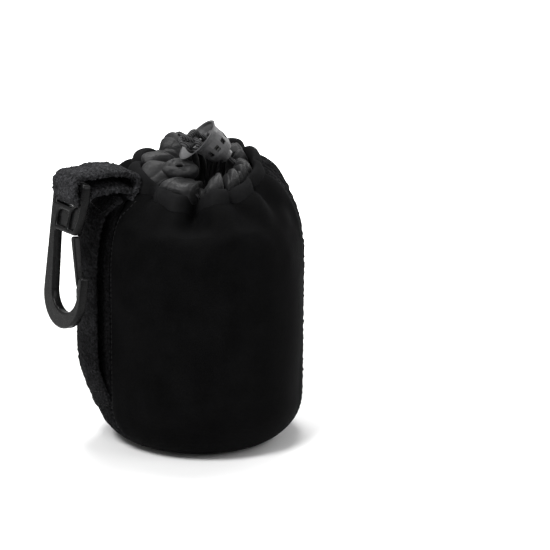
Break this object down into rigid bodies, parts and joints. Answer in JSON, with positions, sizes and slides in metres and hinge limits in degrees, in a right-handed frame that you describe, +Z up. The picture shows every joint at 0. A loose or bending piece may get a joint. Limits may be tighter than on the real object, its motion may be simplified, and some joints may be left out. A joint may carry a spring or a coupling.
{
  "type": "lens pouch",
  "caption": "Soft padded drawstring pouch with a gathered satin neck, a push-button cord lock, a belt strap down one side and a snap hook on a webbing loop.",
  "frame": {"origin": "middle of the flat base, on the surface that the pouch stands on", "axes": "+Z up towards the mouth, -Y towards the front panel, -X towards the belt strap and the hook"},
  "size_m": [0.1305, 0.102, 0.1592],
  "materials": {
    "neoprene": "smooth black knit over foam rubber, dull",
    "pile": "fuzzy brushed black loop cloth",
    "hem": "folded edge of the black knit",
    "satin": "thin dark grey satin, creased",
    "cord": "braided black cord",
    "webbing": "woven black webbing with a fuzzy face",
    "lock_plastic": "dark grey moulded plastic, satin gloss",
    "hook_plastic": "black moulded plastic, satin gloss",
    "spring_steel": "drawn wire"
  },
  "bodies": {
    "pouch": {"front_panel": "neoprene", "back_panel": "neoprene", "side_band": "pile", "top_hem": "hem", "satin_collar": "satin", "drawcord_loop": "cord", "drawcord_strand_front": "cord", "drawcord_strand_back": "cord", "cord_knot": "cord", "belt_strap": "webbing", "hanger_loop": "webbing"},
    "hook": {"snap_hook_body": "hook_plastic"},
    "hook_gate": {"snap_hook_gate": "hook_plastic"},
    "cord_lock": {"cord_lock_barrel": "lock_plastic", "cord_lock_spring": "spring_steel"},
    "lock_button": {"cord_lock_plunger": "lock_plastic"}
  },
  "joints": [
    {"name": "hook_swing", "type": "hinge", "parent": "pouch", "child": "hook", "pos_m": [-0.06531, -0.01258, 0.1345], "axis": [-0.342, 0.9397, 0], "range_deg": [-9, 77]},
    {"name": "hook_gate_press", "type": "hinge", "parent": "hook", "child": "hook_gate", "pos_m": [-0.06593, -0.02068, 0.10902], "axis": [0.9317, 0.3391, -0.1305], "range_deg": [0, 25], "stiffness_Nm_per_rad": 0.06, "springref_deg": -8.59},
    {"name": "cord_lock_slide", "type": "slide", "parent": "pouch", "child": "cord_lock", "axis": [-0.7314, 0, 0.682], "range_m": [0, 0.0012]},
    {"name": "cord_lock_press", "type": "slide", "parent": "cord_lock", "child": "lock_button", "axis": [-0.7314, 0, 0.682], "range_m": [0, 0.0015], "stiffness_N_per_m": 400, "springref_m": -0.002, "deforming": ["cord_lock_spring"]}
  ]
}
